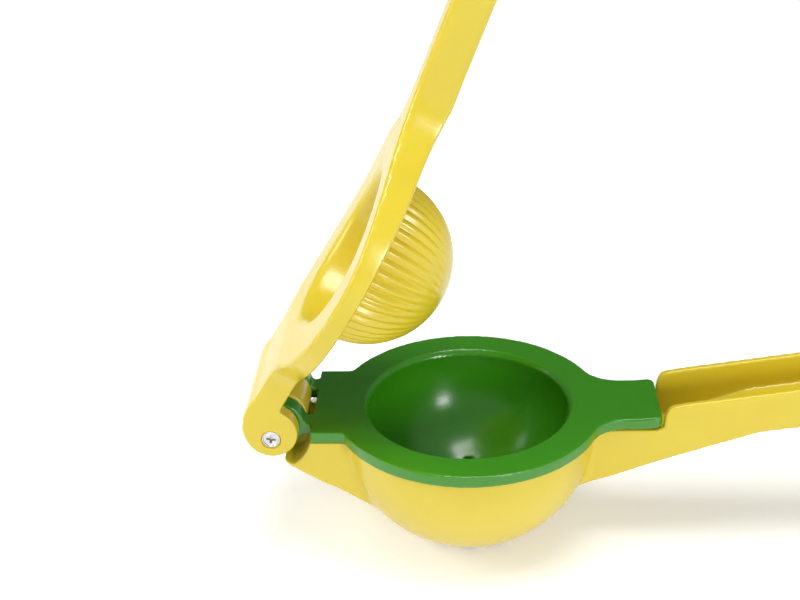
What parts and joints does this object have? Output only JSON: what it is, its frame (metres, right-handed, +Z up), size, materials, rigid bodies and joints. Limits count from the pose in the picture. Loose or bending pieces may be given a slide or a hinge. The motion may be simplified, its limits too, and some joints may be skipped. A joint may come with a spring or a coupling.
{
  "type": "hinged lemon squeezer",
  "caption": "Hinged hand squeezer: a bowl on a channelled handle, a drained strainer cup, and a fluted pressing dome on a lever, all turning about a pin behind the bowl.",
  "frame": {"origin": "middle of the flat foot under the bowl", "axes": "+X from the hinge pin towards the lower handle, +Y across the tool, +Z up"},
  "size_m": [0.2168, 0.076, 0.2256],
  "materials": {
    "yellow_enamel": "glossy baked enamel on cast aluminium",
    "green_enamel": "glossy baked enamel on cast aluminium",
    "pin_steel": "turned steel"
  },
  "bodies": {
    "bowl_arm": {"lower_arm": "yellow_enamel"},
    "cup": {"strainer_cup": "green_enamel"},
    "press": {"press_arm": "yellow_enamel", "pin_barrel": "pin_steel", "pin_screw": "pin_steel"}
  },
  "joints": [
    {"name": "cup_hinge", "type": "hinge", "parent": "bowl_arm", "child": "cup", "pos_m": [-0.054, 0, 0.0386], "axis": [0, -1, 0], "range_deg": [0, 50]},
    {"name": "press_hinge", "type": "hinge", "parent": "cup", "child": "press", "pos_m": [-0.054, 0, 0.0386], "axis": [0, -1, 0], "range_deg": [-59.3, 40]}
  ]
}
